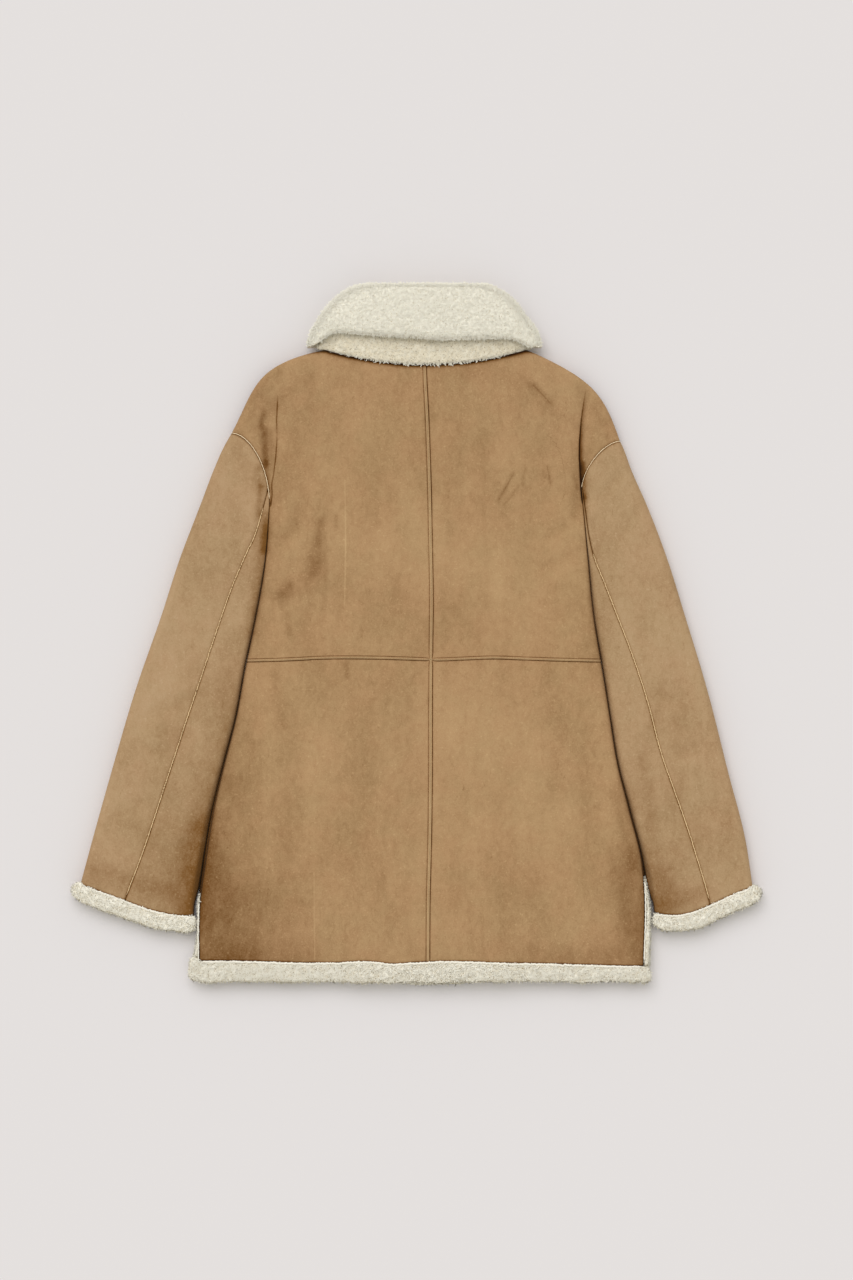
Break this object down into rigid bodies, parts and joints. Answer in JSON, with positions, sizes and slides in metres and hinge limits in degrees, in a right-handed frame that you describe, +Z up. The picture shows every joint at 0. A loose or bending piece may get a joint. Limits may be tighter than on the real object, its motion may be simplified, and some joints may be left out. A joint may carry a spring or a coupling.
{
  "type": "shearling coat",
  "caption": "Shearling coat with a suede outside and cream fleece at its collar, cuffs, hem and vents, laid out flat on its front with its back up and a sleeve down each side.",
  "frame": {"origin": "middle of the coat's outline, on the surface it lies on", "axes": "+X across the coat towards the sleeve on the right of the picture (the wearer's right), +Y from the hem to the collar, +Z up out of the coat's back"},
  "size_m": [0.8616, 0.8768, 0.0407],
  "materials": {
    "suede": "matt napped suede, mottled tan, brushed marks",
    "fleece": "cream curly pile, very matt"
  },
  "bodies": {
    "root": {"back_upper_left": "suede", "back_upper_right": "suede", "back_lower_left": "suede", "back_lower_right": "suede", "front_left": "suede", "front_right": "suede", "sleeve_left_top": "suede", "sleeve_left_under": "suede", "sleeve_right_top": "suede", "sleeve_right_under": "suede", "collar": "fleece", "cuff_left": "fleece", "cuff_right": "fleece", "hem_back": "fleece", "hem_front_left": "fleece", "hem_front_right": "fleece", "vent_left": "fleece", "vent_right": "fleece"}
  },
  "joints": []
}
